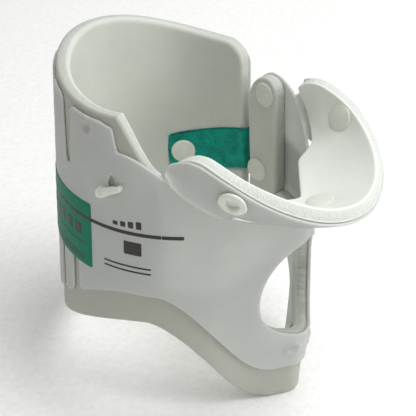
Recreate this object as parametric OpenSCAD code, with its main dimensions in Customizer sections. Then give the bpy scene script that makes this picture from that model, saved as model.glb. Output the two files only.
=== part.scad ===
// One-piece cervical collar: a thin plastic sheet wrapped round the neck and lined with foam,
// with a folded-out chin support, a flap at the wearer's left and a hook-and-loop strap.
// +Z is up, -Y is the wearer's front, and the neck runs along the Z axis.
// Bearings are degrees round the neck from the front centre, minus towards the wearer's right.

/* [Neck] */
// Inside radius of the foam round the neck
neck_r = 43; // [38:1:52]

/* [Walls] */
// Thickness of the foam liner
foam_t = 5.8; // [4.6:0.1:7]
// Thickness of the plastic sheet
shell_t = 1.2; // [0.8:0.1:1.6]
// Thickness of the foam pad under the chin
pad_t = 5; // [4:0.1:7]

/* [Beak] */
// Outside radius of the beak at the front centre
nose_r = 9; // [7:0.5:12]
// From the neck axis to the centre of the beak's curve
nose_d = 50.5; // [46:0.5:58]

/* [Heights] */
// Top of the foam at the nape
rim_z = 52.5; // [46:0.5:60]
// Lowest point of the foam at the nape
nape_drop = 63; // [56:0.5:70]
// Lowest point of the foam at the breastbone
chest_drop = 84; // [78:0.5:96]
// Lowest point of the foam at each side
side_drop = 39.3; // [36:0.5:44]
// How far the foam stands out below the plastic
hem = 13; // [8:0.5:16]
// Height of the notch between the side and the chin support
notch_z = 24; // [20:0.5:28]
// Height of the plastic's top edge at the front centre
front_z = -0.8; // [-4:0.2:2]
// Height of the plastic's top edge at the flap
flap_z = 27.7; // [26:0.1:33]

/* [Chin support] */
// Half the width of the chin support between its rims
chin_w = 35.5; // [32:0.5:38]
// How far the front lip lies from the neck axis
chin_y = 80.2; // [76:0.5:90]
// Height of the rim at its highest, beside the jaw
chin_side_z = 34.4; // [30:0.5:38]
// Height of the front lip
chin_lip_z = 15.4; // [12:0.5:20]

/* [Windpipe opening] */
// Half the width of the opening
hole_r = 17.6; // [12:0.2:18.6]
// Height of the opening's widest line, from the origin
hole_z = -35; // [-38:0.5:-33]
// Height of the opening's pointed top, from the origin
hole_top = -8.3; // [-12:0.2:-8]

/* [Strap] */
// Width of the strap
strap_w = 19; // [15:0.5:22]
// Thickness of the strap
strap_t = 1.4; // [1:0.1:1.6]
// Height of the strap's centre line at the gap, from the origin
strap_z = -10; // [-14:0.5:-8]

/* [Rivets] */
// Radius of a rivet's head
head_r = 5.3; // [4.4:0.1:5.8]
// Thickness of a rivet's head
head_t = 1.4; // [1:0.1:1.8]
// Radius of a rivet's shank
shank_r = 2.2; // [1.6:0.1:2.6]

/* [Hidden] */
$fn = 96;

shell_r = neck_r + foam_t + shell_t;
sheet_in = shell_t;                     // inset of the sheet's inner face
foam_in = shell_t + foam_t;             // inset of the foam's inner face
fit = 0.3;                              // clearance between pieces that move past each other
hole_fit = 0.25;                        // clearance of a rivet in its hole
stud_r = 3;                             // radius of a liner stud
cap_t = 1.2;                            // thickness of the washer outside the sheet
far = 200;                              // longer than the collar, for cutting

notch_b = 61.3;                         // bearing of the notch, where the side bends
hinge_gap = 0.6;                        // degrees kept clear on each side of the side hinge
flap_end_b = 88.2;                      // bearing of the flap's rear edge
rear_end_b = 92;                        // bearing of the rear panel's free edge
flap_foam_b = 67;                       // bearing of the flap foam's front edge
rim_fall = 0.0045;                      // how fast the nape's rim falls away on both sides
rim_peak_x = -6;                        // where the rim is highest
panel_corner = 8;                       // corner radius of the rear panel's free edge
side_b = 68;                            // bearing where the chest's edge meets the nape's edge
chest_foam_b = [8, 70];                 // bearings between which the foam's edge falls to the chest
chest_sheet_b = [10, 65];               // the same for the sheet's edge
nape_foam_b = [66, 158];                // bearings between which the foam's edge falls to the nape
nape_sheet_b = [75, 140];               // the same for the sheet's edge
nape_sheet_drop = 21;                   // fall of the sheet's edge to the nape
flap_peak_b = 76;                       // bearing of the flap's highest point
flap_fall = 7;                          // fall of the flap's top edge behind its highest point
ear_b = 80;                             // bearing of the notch in the side sheet's top edge
ear_z = 31;                             // height of the sheet at that notch
ear_rise = 9;                           // height of the ear behind that notch
ear_slope = 4.7;                        // further rise towards the first slot
ear_foot = 7;                           // rise of the sheet's edge from the hinge to the notch
foam_rise_b = [60, 87];                 // bearings between which the foam rises to the rim
foam_shoulder = 5;                      // how far that rise stays under the rim's height
rivet_color = [0.93, 0.92, 0.86];
sheet_color = [0.80, 0.82, 0.84];
foam_color = [0.82, 0.83, 0.78];
strap_color = [0.04, 0.50, 0.40];
hooks_color = [0.03, 0.42, 0.34];
ink_color = [0.08, 0.09, 0.08];

// A smooth step from 0 to 1, and the same between two limits
function step(t) = t <= 0 ? 0 : t >= 1 ? 1 : t * t * (3 - 2 * t);
function ramp(t, limits) = step((t - limits[0]) / (limits[1] - limits[0]));

// Bearing where the flat sides leave the neck's circle, and where they reach the beak
flat_b = acos((shell_r - nose_r) / nose_d);
function beak_b(inset) = atan2((nose_r - inset) * sin(flat_b), nose_d + (nose_r - inset) * cos(flat_b));

// Distance of the wall from the neck axis at a bearing
function rho(b, inset = 0) =
    abs(b) >= flat_b ? shell_r - inset
    : abs(b) >= beak_b(inset) ? (shell_r - inset) / cos(flat_b - abs(b))
    : nose_d * cos(b) + sqrt(pow(nose_r - inset, 2) - pow(nose_d * sin(b), 2));
function on_wall(b, inset = 0) = [rho(b, inset) * sin(b), -rho(b, inset) * cos(b)];
function wall_y(b) = on_wall(b)[1];

// Heights of the edges at a bearing: foam and plastic below, plastic and foam above
function foam_low(b) = b < side_b
    ? -side_drop - (chest_drop - side_drop) * (1 - ramp(b, chest_foam_b))
    : -side_drop - (nape_drop - side_drop) * ramp(b, nape_foam_b);
function sheet_low(b) = b < side_b
    ? -side_drop + hem - (chest_drop - side_drop - hem / 5) * (1 - ramp(b, chest_sheet_b))
    : -side_drop + hem - nape_sheet_drop * ramp(b, nape_sheet_b);
function front_top(b) = front_z + (notch_z - front_z) * pow(b / notch_b, 2);
function flap_top(b) = b < flap_peak_b
    ? notch_z + (flap_z - notch_z) * sin(90 * (b - notch_b) / (flap_peak_b - notch_b))
    : flap_z - flap_fall * pow((b - flap_peak_b) / (flap_end_b - flap_peak_b), 2);
function side_sheet_top(b) = b < ear_b
    ? notch_z + ear_foot * sin(90 * (b - notch_b) / (ear_b - notch_b))
    : ear_z + ear_rise * ramp(b, [ear_b, ear_b + 3]) + ear_slope * ramp(b, [ear_b + 2, ear_b + 22]);
function side_foam_top(b) = notch_z + (rim_z - notch_z - foam_shoulder) * ramp(b, foam_rise_b);
function rim_top(x) = rim_z - rim_fall * pow(x - rim_peak_x, 2);

// Bearings where the front wall's outline has its points: both sides, and the beak's curve between
function stations(b0, b1, inset) =
    let (n = nose_r - inset, side = [for (b = [flat_b:2.5:92]) b],
         beak = [for (i = [-8:8]) atan2(n * sin(flat_b * i / 8), nose_d + n * cos(flat_b * i / 8))],
         all = concat([for (i = [len(side) - 1:-1:0]) -side[i]], beak, side))
    concat([b0], [for (b = all) if (b > b0 + 0.2 && b < b1 - 0.2) b], [b1]);

// The front's upright wall between two insets and two bearings
module front_wall(outside, inside, b0, b1, z0 = -far / 2, z1 = far / 2) {
    outer = [for (b = stations(b0, b1, outside)) on_wall(b, outside)];
    inner = [for (b = stations(b0, b1, inside)) on_wall(b, inside)];
    translate([0, 0, z0]) linear_extrude(z1 - z0)
        polygon(concat(outer, [for (i = [len(inner) - 1:-1:0]) inner[i]]));
}

// A wedge between two bearings
module wedge(b0, b1) {
    steps = ceil((b1 - b0) / 40);
    polygon(concat([[0, 0]], [for (i = [0:steps]) let (b = b0 + (b1 - b0) * i / steps)
                              [far * sin(b), -far * cos(b)]]));
}

// The rear's upright wall, round the neck's circle, between two insets and two bearings
module rear_wall(outside, inside, b0, b1, z0 = -far / 2, z1 = far / 2) {
    translate([0, 0, z0]) linear_extrude(z1 - z0) intersection() {
        difference() { circle(shell_r - outside); circle(shell_r - inside); }
        wedge(b0, b1);
    }
}

// A solid seen from the side: its outline has a low and a high edge over a run of bearings
module side_view(bearings, low, high) {
    n = len(bearings) - 1;
    top = [for (b = bearings) [wall_y(b), high(b)]];
    bottom = [for (i = [n:-1:0]) [wall_y(bearings[i]), low(bearings[i])]];
    front = bearings[0] == 0 ? [[wall_y(0) - 9, low(0)], [wall_y(0) - 9, high(0)]] : [];
    back = bearings[n] == 180 ? [[wall_y(180) + 9, high(180)], [wall_y(180) + 9, low(180)]] : [];
    rotate([90, 0, 90]) linear_extrude(far, center = true) polygon(concat(top, back, bottom, front));
}
function run(b0, b1, n) = [for (i = [0:n]) b0 + (b1 - b0) * i / n];

// A solid seen from the front, under the nape's rim
module under_rim(margin) {
    xs = [for (x = [-60:5:60]) x];
    rotate([90, 0, 0]) linear_extrude(far, center = true)
        polygon(concat([for (x = xs) [x, rim_top(x) - margin]], [[60, -far / 2], [-60, -far / 2]]));
}

// Turns a piece drawn along -Y out to a bearing
module at_bearing(b) { rotate([0, 0, b]) children(); }

// A disc standing in the wall between two distances from the axis
module radial_disc(b, z, r, from_r, to_r) {
    at_bearing(b) translate([0, -from_r, z]) rotate([90, 0, 0])
        cylinder(h = to_r - from_r, r = r, $fn = 40);
}

/* ---- Plastic sheet ---- */

hole_arc = (pow(hole_r, 2) + pow(hole_top - hole_z, 2)) / (2 * hole_r);
module windpipe_outline(grow = 0) {
    translate([0, hole_z]) circle(hole_r + grow);
    translate([0, hole_z]) intersection() {
        translate([hole_arc - hole_r, 0]) circle(hole_arc + grow, $fn = 128);
        translate([hole_r - hole_arc, 0]) circle(hole_arc + grow, $fn = 128);
        translate([-far / 2, 0]) square([far, far]);
    }
}
module windpipe_cut(grow = 0) {
    rotate([90, 0, 0]) linear_extrude(far) windpipe_outline(grow);
}

flap_rivet_places = [[76, 19.8], [82, -17.5]];
front_stud_places = [[-5.5, -59.3], [5.5, -59.3]];
liner_top = [6, 0.03, 16];              // front foam: rise over the opening, fall beside it, least height
module front_shell() {
    color(sheet_color) difference() {
        intersection() {
            front_wall(0, sheet_in, -notch_b + hinge_gap, flap_end_b);
            side_view(run(0, 90, 40), function(b) sheet_low(b),
                      function(b) b < notch_b ? front_top(b) : flap_top(b));
        }
        windpipe_cut();
        for (p = flap_rivet_places) radial_disc(p[0], p[1], shank_r + hole_fit, neck_r, shell_r + 5);
    }
}

upper_slots = [for (i = [-3:3]) 180 + 22.7 * i];
lower_slots = [for (i = [-5:5]) 180 + 14.5 * i];
slot_floor = 20;                        // height where the upper slots end
slot_roof = -14;                        // height where the lower slots end
upper_slot_w = [2, 4.5];                // half width of an upper slot at its floor and its mouth
lower_slot_w = 2.2;                     // half width of a lower slot
sheet_margin = 2.5;                     // how far the sheet's edge stays inside the foam's rim
module upper_slot(b) {
    at_bearing(b) translate([0, -neck_r, 0]) rotate([90, 0, 0]) linear_extrude(20) {
        polygon([[-upper_slot_w[0], slot_floor], [upper_slot_w[0], slot_floor],
                 [upper_slot_w[1], rim_z + 5], [-upper_slot_w[1], rim_z + 5]]);
        translate([0, slot_floor]) circle(upper_slot_w[0], $fn = 24);
    }
}
module lower_slot(b) {
    at_bearing(b) translate([0, -neck_r, 0]) rotate([90, 0, 0]) linear_extrude(20) {
        translate([-lower_slot_w, -nape_drop - 5]) square([2 * lower_slot_w, nape_drop + 5 + slot_roof]);
        translate([0, slot_roof]) circle(lower_slot_w, $fn = 24);
    }
}

strap_rivet_b = 128;
strap_rivet_z = strap_z - 5.1;
rear_stud_places = [[-96, 37.4]];
hook_b = -84;
hook_z = 16;
module rear_shell() {
    color(sheet_color) difference() {
        intersection() {
            rear_wall(0, sheet_in, rear_end_b - 360, -notch_b - hinge_gap);
            side_view(run(notch_b, 180, 28), function(b) sheet_low(b), function(b) rim_z);
            under_rim(sheet_margin);
        }
        // the near side's top edge steps down to the notch
        intersection() {
            translate([-far, -far / 2, 0]) cube([far, far, far]);
            side_view(run(notch_b - 4, 108, 40), function(b) side_sheet_top(b), function(b) far);
        }
        free_corner(sheet_margin);
        for (b = upper_slots) upper_slot(b);
        for (b = lower_slots) lower_slot(b);
        radial_disc(strap_rivet_b, strap_rivet_z, shank_r + hole_fit, neck_r, shell_r + 5);
        hook_window();
    }
}

// Cuts the round top corner of the rear panel's free edge
module free_corner(margin) {
    w = panel_corner;
    top = rim_top(shell_r) - margin;
    at_bearing(rear_end_b) rotate([90, 0, 0]) linear_extrude(shell_r + 9) difference() {
        translate([-1, top - w]) square([w + 1, w + 9]);
        translate([w, top - w]) circle(w, $fn = 40);
    }
}

module hook_window() {
    at_bearing(hook_b + 1) translate([0, -neck_r, hook_z + 3.6]) rotate([90, 0, 0])
        linear_extrude(20) polygon([[-1.8, -2.4], [2.2, -0.7], [0, 1.8], [-1.2, 1.7]]);
}

/* ---- Foam ---- */

module front_liner() {
    color(foam_color) difference() {
        intersection() {
            front_wall(sheet_in, foam_in, -notch_b + hinge_gap, flap_foam_b - fit);
            side_view(run(0, flap_foam_b, 24), function(b) foam_low(b),
                      function(b) max(hole_top + liner_top[0] - liner_top[1] * pow(b, 2),
                                      -side_drop + liner_top[2]));
        }
        windpipe_cut();
        for (p = front_stud_places)
            radial_disc(p[0], p[1], stud_r + hole_fit, rho(p[0], foam_in) - 2, rho(p[0], foam_in) + head_t);
    }
}

module rear_liner() {
    color(foam_color) difference() {
        intersection() {
            rear_wall(sheet_in, foam_in, rear_end_b - 360, -notch_b - hinge_gap);
            side_view(run(notch_b, 180, 28), function(b) foam_low(b), function(b) rim_z + 5);
            under_rim(0);
        }
        intersection() {
            translate([-far, -far / 2, 0]) cube([far, far, far]);
            side_view(run(notch_b - 4, 88, 24), function(b) side_foam_top(b), function(b) far);
        }
        free_corner(0);
        strap_pocket();
        radial_disc(strap_rivet_b, strap_rivet_z, shank_r + hole_fit, neck_r - 1, shell_r);
        radial_disc(strap_rivet_b, strap_rivet_z, head_r + hole_fit, neck_r - 1, neck_r + fit + head_t);
        for (p = rear_stud_places) radial_disc(p[0], p[1], stud_r + hole_fit, neck_r - 1, neck_r + head_t);
    }
}

module flap_liner() {
    color(foam_color) difference() {
        intersection() {
            front_wall(sheet_in, foam_in, flap_foam_b, flap_end_b);
            side_view(run(flap_foam_b - 6, 92, 16), function(b) foam_low(b),
                      function(b) flap_top(b) - 0.5);
        }
        for (p = flap_rivet_places) {
            radial_disc(p[0], p[1], shank_r + hole_fit, neck_r - 1, shell_r);
            radial_disc(p[0], p[1], head_r + hole_fit, neck_r - 1, neck_r + fit + head_t);
        }
    }
}

/* ---- Strap ---- */

strap_gap_b = 90;                       // bearing of the gap that the strap comes out by
strap_root_b = 136;                     // bearing of the strap's inner end
strap_r = neck_r + head_t + 0.6;        // inner radius of the strap inside the rear panel
strap_slope = 0.16;                     // millimetres of fall for each degree from the gap
tail_r = shell_r + cap_t + 0.7;         // inner radius of the strap outside the flap
tail_tip_b = 51;                        // bearing where the tip begins
tip_end_b = 37;                         // bearing of the tip's free end
strap_step = 4;                         // degrees between the facets of a curved strap
patch_t = 1.1;                          // thickness of the loop patch
hooks_t = 0.5;                          // thickness of the hook layer on the strap
patch_b = [40, 72];                     // the loop patch's two ends
patch_margin = 1;                       // how far the patch reaches past the strap above and below

// A strap lying round the neck at a radius, sloping with the bearing
module band(r, t, b0, b1, w, grow = 0) {
    inner = [for (b = [strap_step * ceil(b0 / strap_step + 0.1):strap_step:b1 - 0.5]) b];
    bearings = concat([b0], inner, [b1]);
    n = len(bearings) - 1;
    half = w / 2 + grow;
    section = [[r, -half], [r + t, -half], [r + t, half], [r, half]];
    ring = [for (b = bearings) let (z = strap_z - strap_slope * max(0, b - strap_gap_b))
            [for (c = section) [c[0] * sin(b), -c[0] * cos(b), z + c[1]]]];
    last = 4 * n;
    ends = [[3, 2, 1], [3, 1, 0], [last, last + 1, last + 2], [last, last + 2, last + 3]];
    sides = [for (i = [0:n - 1]) for (k = [0:3]) let (a = 4 * i + k, c = 4 * i + (k + 1) % 4)
             each [[a, c, c + 4], [a, c + 4, a + 4]]];
    polyhedron(points = [for (q = ring) each q], faces = concat(ends, sides));
}
module strap_pocket() {
    deep = strap_r + strap_t + fit - neck_r;
    band(neck_r - 2, deep + 2, rear_end_b - 2, strap_root_b + 0.6, strap_w, 0.5);
}
module strap_root() {
    color(strap_color) difference() {
        union() {
            band(strap_r, strap_t, strap_gap_b - 0.8, strap_root_b, strap_w);
            at_bearing(strap_gap_b) translate([-strap_t / 2, -tail_r - strap_t, strap_z - strap_w / 2])
                cube([strap_t, tail_r + strap_t - strap_r, strap_w]);
        }
        radial_disc(strap_rivet_b, strap_rivet_z, shank_r + hole_fit, neck_r - 2, shell_r);
    }
}
tail_start_b = strap_gap_b - 1.9;       // bearing where the strap outside the flap begins
module strap_tail() {
    color(strap_color) band(tail_r + hooks_t, strap_t, tail_tip_b + fit, tail_start_b, strap_w);
}
module tail_hooks() {
    color(hooks_color) band(tail_r, hooks_t, tail_tip_b + fit, patch_b[1], strap_w - 2);
}
module strap_tip() {
    color(strap_color) band(tail_r + hooks_t, strap_t, tip_end_b, tail_tip_b - fit, strap_w);
}
module tip_hooks() {
    color(hooks_color) band(tail_r, hooks_t, tip_end_b + 7, tail_tip_b - fit, strap_w - 2);
}
module loop_patch() {
    half = strap_w / 2 + patch_margin;
    color(strap_color) front_wall(-patch_t, 0, patch_b[0], patch_b[1], strap_z - half, strap_z + half);
}

/* ---- Rivets ---- */

module wall_rivet(b, z) {
    radial_disc(b, z, head_r, neck_r + fit, neck_r + fit + head_t);
    radial_disc(b, z, shank_r, neck_r + fit, shell_r + cap_t);
}
module wall_rivet_cap(b, z) {
    difference() {
        radial_disc(b, z, head_r, shell_r + 0.05, shell_r + cap_t);
        radial_disc(b, z, shank_r, shell_r - 1, shell_r + cap_t + 1);
    }
}
module strap_rivet() {
    color(rivet_color) {
        radial_disc(strap_rivet_b, strap_rivet_z, head_r, neck_r + 0.05, neck_r + head_t);
        radial_disc(strap_rivet_b, strap_rivet_z, shank_r, neck_r + head_t, shell_r + cap_t);
    }
}
module strap_rivet_cap() { color(rivet_color) wall_rivet_cap(strap_rivet_b, strap_rivet_z); }
module flap_rivets() {
    color(rivet_color) for (p = flap_rivet_places) wall_rivet(p[0], p[1]);
}
module flap_rivet_caps() {
    color(rivet_color) for (p = flap_rivet_places) wall_rivet_cap(p[0], p[1]);
}

/* ---- Chin support ---- */

chin_b = 53;                            // bearing where the chin support's arms end
rim_turn = 0.8;                         // share of the rim that runs round the lip
lip_mid_y = -42;                        // where the lip's curve begins
arm_end_y = -28;                        // rear end of the rims
chin_gap = 1.45;                        // clearance over the sheet's top edge
chin_inset = 6;                         // how far the pad reaches inwards over the sheet at the front
chin_swing = [0.44, 0.70];              // where the pad's inner edge swings out to the side folds
arm_splay = 0.8;                        // how far the arms spread behind the lip's curve
rim_peak_y = -39;                       // where the rim is highest
rim_back_fall = 0.023;                  // how fast the rim falls away behind its highest point
rim_front_power = 1.3;                  // how late the rim falls away in front of it
root_drop = 0.4;                        // how far the pad sinks beside the wall towards the arms
bow = [0.6, 0.28];                      // the pad's bow: place across and height of its middle
chin_cols = 28;
chin_rows = 8;
washer_gap = 0.4;                       // space between the plate and a washer's outer face
plate_row = 1;                          // first row that the plate reaches

// The rim's height along the collar
function rim_height(y) = y > rim_peak_y
    ? chin_side_z - rim_back_fall * pow(y - rim_peak_y, 2)
    : let (share = (rim_peak_y - y) / (chin_y + rim_peak_y))
      chin_side_z - (chin_side_z - chin_lip_z) * pow(share, rim_front_power);

// The rim from the front centre (0) to an arm's end (1 or -1)
function rim_xy(u) = let (a = abs(u)) a < rim_turn
    ? [sign(u) * chin_w * sin(90 * a / rim_turn), lip_mid_y - (chin_y + lip_mid_y) * cos(90 * a / rim_turn)]
    : let (arm = (a - rim_turn) / (1 - rim_turn))
      [sign(u) * (chin_w + arm_splay * arm), lip_mid_y + (arm_end_y - lip_mid_y) * arm];
function rim_point(u) = let (p = rim_xy(u)) [p[0], p[1], rim_height(p[1])];

// The pad's inner edge, over the sheet's top edge
function root_point(u) =
    let (b = chin_b * u, steep = step(abs(u) * 1.2),
         p = on_wall(b, chin_inset * (1 - ramp(abs(u), chin_swing))))
    [p[0], p[1], front_top(b) + chin_gap + (shell_t + pad_t) * (1 - root_drop * steep)];

// The pad's top face: a curve from the inner edge (0) to the rim (1)
function chin_top(u, v) =
    let (a = root_point(u), b = rim_point(u), d = b - a,
         c = a + [bow[0] * d[0], bow[0] * d[1], bow[1] * d[2]])
    (1 - v) * (1 - v) * a + 2 * v * (1 - v) * c + v * v * b;
function chin_normal(u, v) =
    let (e = 0.01, across = chin_top(u, v + e) - chin_top(u, v - e),
         along = chin_top(u + e, v) - chin_top(u - e, v), n = cross(across, along))
    n / norm(n);
function chin_at(u, v, depth) = chin_top(u, v) - depth * chin_normal(u * 0.985, v);

// A layer of the chin support between two depths under the pad's top face
module chin_layer(top, bottom, first_row) {
    cols = chin_cols;
    rows = chin_rows - first_row;
    grid = [for (d = [top, bottom]) for (j = [0:rows]) for (i = [0:cols])
            chin_at(2 * i / cols - 1, (j + first_row) / chin_rows, d)];
    w = cols + 1;
    h = w * (rows + 1);
    upper = [for (j = [0:rows - 1]) for (i = [0:cols - 1]) let (a = j * w + i)
             each [[a, a + 1, a + w + 1], [a, a + w + 1, a + w]]];
    lower = [for (j = [0:rows - 1]) for (i = [0:cols - 1]) let (a = h + j * w + i)
             each [[a + w + 1, a + 1, a], [a + w, a + w + 1, a]]];
    inner = [for (i = [0:cols - 1]) each [[i, h + i, h + i + 1], [i, h + i + 1, i + 1]]];
    outer = [for (i = [0:cols - 1]) let (a = rows * w + i)
             each [[a + 1, h + a + 1, h + a], [a + 1, h + a, a]]];
    left = [for (j = [0:rows - 1]) let (a = j * w)
            each [[a + w, h + a + w, h + a], [a + w, h + a, a]]];
    right = [for (j = [0:rows - 1]) let (a = j * w + cols)
             each [[a, h + a, h + a + w], [a, h + a + w, a + w]]];
    faces = concat(upper, lower, inner, outer, left, right);
    polyhedron(points = grid, faces = faces);
}

// Stands a piece on the chin support, its Z along the pad's normal
module on_chin(place) {
    n = chin_normal(place[0], place[1]);
    translate(chin_top(place[0], place[1])) rotate([0, acos(n[2]), atan2(n[1], n[0])]) children();
}
chin_front_place = [0, 0.3];
chin_side_places = [[-0.66, 0.76], [0.66, 0.76]];
chin_places = concat([chin_front_place], chin_side_places);
chin_depth = pad_t + shell_t;
washer_low = chin_depth + cap_t + washer_gap;   // depth of a washer's outer face under the pad's top

// A bore through the chin support at each of its rivets
module chin_bores() {
    for (p = chin_places) on_chin(p) translate([0, 0, -2 * chin_depth])
        cylinder(h = 3 * chin_depth, r = shank_r + hole_fit, $fn = 40);
}

module chin_plate() {
    color(sheet_color) difference() {
        chin_layer(pad_t, chin_depth, plate_row);
        chin_bores();
    }
}
module chin_pad() {
    color(foam_color) difference() {
        chin_layer(0, pad_t, 0);
        chin_bores();
        for (p = chin_places) on_chin(p) translate([0, 0, -head_t - 0.2])
            cylinder(h = 6, r = head_r + hole_fit, $fn = 40);
    }
}
module chin_rivet(place) {
    on_chin(place) {
        translate([0, 0, -head_t]) cylinder(h = head_t, r = head_r, $fn = 40);
        translate([0, 0, -washer_low]) cylinder(h = washer_low - head_t, r = shank_r, $fn = 40);
    }
}
module chin_front_rivet() { color(rivet_color) chin_rivet(chin_front_place); }
module chin_side_rivets() { color(rivet_color) for (p = chin_side_places) chin_rivet(p); }
module chin_rivet_caps() {
    color(rivet_color) for (p = chin_places) on_chin(p) translate([0, 0, -washer_low]) difference() {
        cylinder(h = cap_t, r = head_r, $fn = 40);
        translate([0, 0, -1]) cylinder(h = cap_t + 2, r = shank_r, $fn = 40);
    }
}

/* ---- Small pieces ---- */

module front_liner_studs() {
    color(rivet_color) for (p = front_stud_places)
        radial_disc(p[0], p[1], stud_r, rho(p[0], foam_in) - 0.1, rho(p[0], foam_in) + head_t - 0.2);
}
module rear_liner_stud() {
    color(rivet_color) for (p = rear_stud_places)
        radial_disc(p[0], p[1], stud_r, neck_r + 0.05, neck_r + head_t);
}

hook_stand = 2.4;                       // how far the hook stands out from the sheet
// A knob, and an arm that rises from it to a rounded tip
module hook_outline() {
    translate([-3.6, -1.8]) circle(2.6, $fn = 32);
    polygon([[-4.6, -4.2], [-2.6, -4.2], [5.2, 0.6], [5.6, 2.4], [4.4, 3.2], [-1.6, 0.4]]);
    translate([5, 1.8]) circle(1, $fn = 24);
}
module cannula_hook() {
    color([0.93, 0.93, 0.92]) intersection() {
        at_bearing(hook_b) translate([0, -shell_r + 3, hook_z]) rotate([90, 0, 0])
            linear_extrude(3 + hook_stand) hook_outline();
        difference() {
            cylinder(h = far, r = far / 2);
            translate([0, 0, -1]) cylinder(h = far + 2, r = shell_r);
        }
    }
}

label_t = 0.25;                         // thickness of the stuck-on label
ink_t = 0.12;                           // thickness of a printed mark
label_b = [-146, -95];                  // the label's two ends
label_z = [-21, 6.6];                   // the label's lower and upper edge
line_h = 1.05;                          // height of the printed line
line_end_b = -52;                       // bearing of the printed line's front end
module mark(r, b0, b1, z0, z1) { rear_wall(shell_r - r - ink_t, shell_r - r, b0, b1, z0, z1); }
module size_label() {
    color(hooks_color) rear_wall(-label_t, 0, label_b[0], label_b[1], label_z[0], label_z[1]);
}
module label_print() {
    color(ink_color) {
        mark(shell_r + label_t, label_b[0], label_b[1], -line_h / 2, line_h / 2);
        for (i = [0:4]) mark(shell_r + label_t, -134 + 7 * i, -129.5 + 7 * i, -8.5, -4);
        for (z = [-12, -17.4, -19]) mark(shell_r + label_t, -134, -100, z, z + 0.6);
    }
}
module line_rear() {
    color(ink_color) mark(shell_r, label_b[1], -notch_b - hinge_gap, -line_h / 2, line_h / 2);
}
module line_front() {
    color(ink_color) front_wall(-ink_t, 0, -notch_b + hinge_gap, line_end_b, -line_h / 2, line_h / 2);
}
module side_print() {
    color(ink_color) {
        for (i = [0:3]) mark(shell_r, -83 + 3.6 * i, -80.6 + 3.6 * i, 2.2, 2.2 + 1.6 + 0.5 * i);
        for (z = [-14.5, -16.6]) mark(shell_r, -88, -66, z, z + 0.7);
        mark(shell_r, -78, -70, -9, -3.5);
    }
}

front_shell();
rear_shell();
chin_plate();
chin_pad();
front_liner();
rear_liner();
flap_liner();
strap_root();
strap_tail();
strap_tip();
tail_hooks();
tip_hooks();
loop_patch();
strap_rivet();
strap_rivet_cap();
flap_rivets();
flap_rivet_caps();
chin_front_rivet();
chin_side_rivets();
chin_rivet_caps();
front_liner_studs();
rear_liner_stud();
cannula_hook();
size_label();
label_print();
line_rear();
line_front();
side_print();
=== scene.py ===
import bpy
import math
import numpy as np
from mathutils import Matrix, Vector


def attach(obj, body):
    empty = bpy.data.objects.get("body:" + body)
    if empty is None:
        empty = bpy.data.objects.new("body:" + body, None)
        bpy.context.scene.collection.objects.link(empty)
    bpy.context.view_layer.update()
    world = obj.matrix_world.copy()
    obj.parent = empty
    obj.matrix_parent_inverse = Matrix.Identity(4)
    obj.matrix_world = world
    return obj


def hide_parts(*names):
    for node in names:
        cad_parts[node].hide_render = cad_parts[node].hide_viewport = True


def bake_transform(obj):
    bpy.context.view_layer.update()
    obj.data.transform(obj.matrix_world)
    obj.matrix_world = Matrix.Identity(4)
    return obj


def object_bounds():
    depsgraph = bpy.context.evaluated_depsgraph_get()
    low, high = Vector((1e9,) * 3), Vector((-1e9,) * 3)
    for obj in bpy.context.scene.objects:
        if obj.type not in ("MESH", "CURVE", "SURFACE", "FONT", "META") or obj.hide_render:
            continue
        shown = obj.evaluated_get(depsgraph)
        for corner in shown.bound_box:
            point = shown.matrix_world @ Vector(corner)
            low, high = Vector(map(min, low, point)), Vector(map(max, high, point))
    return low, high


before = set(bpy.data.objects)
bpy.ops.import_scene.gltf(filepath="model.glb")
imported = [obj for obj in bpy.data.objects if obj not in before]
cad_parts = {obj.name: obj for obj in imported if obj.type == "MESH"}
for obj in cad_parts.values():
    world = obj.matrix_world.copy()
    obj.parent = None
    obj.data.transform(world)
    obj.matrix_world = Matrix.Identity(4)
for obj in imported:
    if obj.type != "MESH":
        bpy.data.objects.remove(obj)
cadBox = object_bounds()
mm = 0.001
print("frame loaded")

# ---------- camera, light and floor ----------

cameraSetup = {
    "azimuth": -53.43,      # degrees, where the camera stands
    "elevation": 31.58,     # degrees above the collar
    "distance": 420,        # mm from the neck axis
    "panRight": 9.73,       # mm, sideways slide of the camera
    "panUp": -15.23,        # mm, upward slide of the camera
    "lens": 91.55,          # mm on a 36 mm wide sensor
}


def addCamera(setup):
    # the camera looks along -back; right and up span its picture
    a, e = math.radians(setup["azimuth"]), math.radians(setup["elevation"])
    back = np.array([math.sin(a) * math.cos(e), -math.cos(a) * math.cos(e), math.sin(e)])
    right = np.array([math.cos(a), math.sin(a), 0.0])
    up = np.cross(back, right)
    place = (back * setup["distance"] + right * setup["panRight"] + up * setup["panUp"]) * mm
    data = bpy.data.cameras.new("camera")
    data.lens = setup["lens"]
    data.sensor_width = 36
    data.clip_start = 0.01
    cam = bpy.data.objects.new("camera", data)
    m = np.eye(4)
    m[:3, 0], m[:3, 1], m[:3, 2], m[:3, 3] = right, up, back, place
    cam.matrix_world = Matrix(m.tolist())
    bpy.context.scene.collection.objects.link(cam)
    bpy.context.scene.camera = cam


studio = {
    "world": 0.45,                                  # strength of the even surrounding light
    "floorColour": (0.96, 0.96, 0.95, 1),
    "keyPlace": (0.12, -0.40, 0.95), "keySize": 0.7, "keyPower": 7.0,
    "fillPlace": (0.70, 0.30, 0.45), "fillSize": 0.7, "fillPower": 1.2,
    "frontPlace": (0.30, -0.85, 0.30), "frontSize": 0.5, "frontPower": 2.6,
}


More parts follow.
